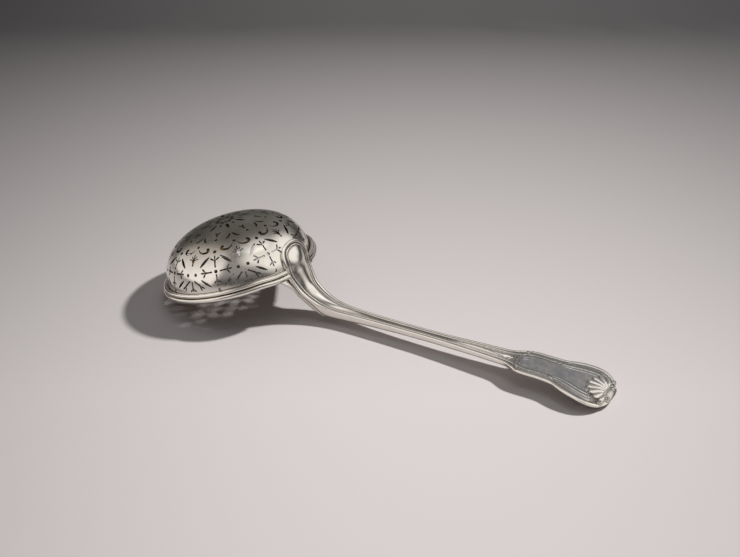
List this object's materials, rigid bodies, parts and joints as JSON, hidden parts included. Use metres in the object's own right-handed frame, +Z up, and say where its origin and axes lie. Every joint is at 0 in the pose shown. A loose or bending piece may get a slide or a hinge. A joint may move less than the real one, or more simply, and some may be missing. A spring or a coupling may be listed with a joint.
{
  "type": "sifter spoon",
  "caption": "Silver sifter spoon: round pierced bowl with a reeded rim, soldered to a long threaded handle with a shell on its spatulate end.",
  "frame": {"origin": "middle of the bounding box at table level, with the spoon lying mouth down", "axes": "+X from the bowl to the tip of the handle, +Y across the spoon, +Z up"},
  "size_m": [0.2006, 0.068, 0.0346],
  "materials": {
    "bowl_silver": "old polished silver with dark tarnish in the piercing and a worn gilt inside",
    "rim_silver": "polished silver wire with a dark groove",
    "handle_silver": "polished silver with fine scratches and tarnish in the threads"
  },
  "bodies": {
    "root": {"pierced_bowl": "bowl_silver", "rim_bead_lower": "rim_silver", "rim_bead_upper": "rim_silver", "handle": "handle_silver", "root_strap": "handle_silver"}
  },
  "joints": []
}
